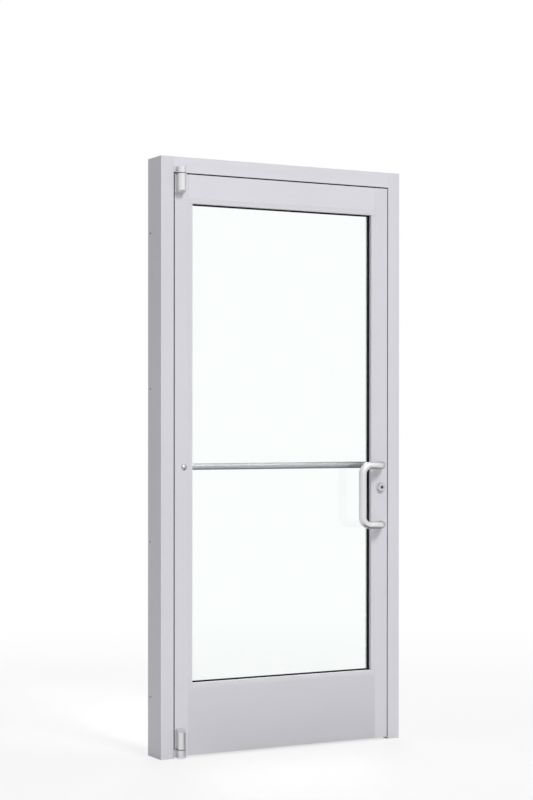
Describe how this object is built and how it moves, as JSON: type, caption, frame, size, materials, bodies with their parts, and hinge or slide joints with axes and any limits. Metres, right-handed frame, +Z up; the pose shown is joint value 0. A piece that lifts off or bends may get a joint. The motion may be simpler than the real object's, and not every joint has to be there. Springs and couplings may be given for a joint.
{
  "type": "glazed entrance door with frame",
  "caption": "Narrow-stile glazed entrance door in a clear-anodised hollow aluminium frame, hung on offset pivots, with an offset pull, a push bar and a swinging deadbolt.",
  "frame": {"origin": "floor level, middle of the frame's width, middle plane of the glass, which is the middle of the part's depth between the pull's grip and the frame's rear face", "axes": "+Z up, +X towards the lock side as seen from the pull side, +Y towards the rear (push bar) side"},
  "size_m": [1.016, 0.1842, 2.1907],
  "materials": {
    "anodised_aluminium": "clear-anodised satin",
    "satin_aluminium": "satin, finely brushed",
    "satin_steel": "satin",
    "black_rubber": "matt black",
    "clear_glass": "clear float",
    "bronze": "plain bearing bronze"
  },
  "bodies": {
    "frame": {"hinge_jamb": "anodised_aluminium", "strike_jamb": "anodised_aluminium", "header": "anodised_aluminium", "hinge_stop": "anodised_aluminium", "strike_stop": "anodised_aluminium", "head_stop": "anodised_aluminium", "hinge_seal": "black_rubber", "strike_seal": "black_rubber", "head_seal": "black_rubber", "header_clips": "anodised_aluminium", "header_clip_screws": "satin_steel", "top_pivot_bracket": "satin_aluminium", "top_pivot_pin": "satin_steel", "top_pivot_bracket_screws": "satin_steel", "bottom_pivot_bracket": "satin_aluminium", "bottom_pivot_pin": "satin_steel", "bottom_pivot_bracket_screws": "satin_steel", "strike_plate": "satin_steel", "strike_plate_screws": "satin_steel"},
    "leaf": {"hinge_stile": "anodised_aluminium", "lock_stile": "anodised_aluminium", "top_rail": "anodised_aluminium", "bottom_rail": "anodised_aluminium", "tie_rods": "satin_steel", "tie_rod_nuts": "satin_steel", "glass_pane": "clear_glass", "outer_top_bead": "anodised_aluminium", "outer_bottom_bead": "anodised_aluminium", "outer_hinge_bead": "anodised_aluminium", "outer_lock_bead": "anodised_aluminium", "inner_top_bead": "anodised_aluminium", "inner_bottom_bead": "anodised_aluminium", "inner_hinge_bead": "anodised_aluminium", "inner_lock_bead": "anodised_aluminium", "outer_gasket": "black_rubber", "inner_gasket": "black_rubber", "setting_blocks": "black_rubber", "hinge_edge_seal": "black_rubber", "lock_edge_seal": "black_rubber", "top_edge_seal": "black_rubber", "pull_handle": "satin_aluminium", "pull_bolts": "satin_steel", "push_bar": "satin_aluminium", "push_bar_bolt": "satin_steel", "top_pivot_arm": "satin_aluminium", "top_pivot_bush": "bronze", "top_pivot_arm_screws": "satin_steel", "bottom_pivot_arm": "satin_aluminium", "bottom_pivot_bush": "bronze", "bottom_pivot_arm_screws": "satin_steel", "lock_case": "satin_steel", "lock_faceplate": "satin_steel", "lock_faceplate_screws": "satin_steel", "outer_cylinder": "satin_steel", "inner_cylinder": "satin_steel", "cylinder_collars": "satin_aluminium"},
    "deadbolt": {"deadbolt": "satin_steel"},
    "key_plug": {"key_plug": "satin_steel"},
    "thumbturn": {"thumbturn": "satin_steel"}
  },
  "joints": [
    {"name": "door_swing", "type": "hinge", "parent": "frame", "child": "leaf", "pos_m": [-0.43415, -0.04127, 1], "axis": [0, 0, -1], "range_deg": [0, 105]},
    {"name": "bolt_throw", "type": "hinge", "parent": "leaf", "child": "deadbolt", "pos_m": [0.4397, 0, 0.936], "axis": [0, -1, 0], "range_deg": [0, 90]},
    {"name": "key_turn", "type": "hinge", "parent": "leaf", "child": "key_plug", "pos_m": [0.4235, 0, 0.976], "axis": [0, 1, 0], "range_deg": [0, 360]},
    {"name": "thumb_turn", "type": "hinge", "parent": "leaf", "child": "thumbturn", "pos_m": [0.4235, 0, 0.976], "axis": [0, -1, 0], "range_deg": [0, 90]}
  ],
  "couplings": [
    {"joint": "key_turn", "follows": "bolt_throw", "ratio": 4},
    {"joint": "thumb_turn", "follows": "bolt_throw", "ratio": 1}
  ]
}
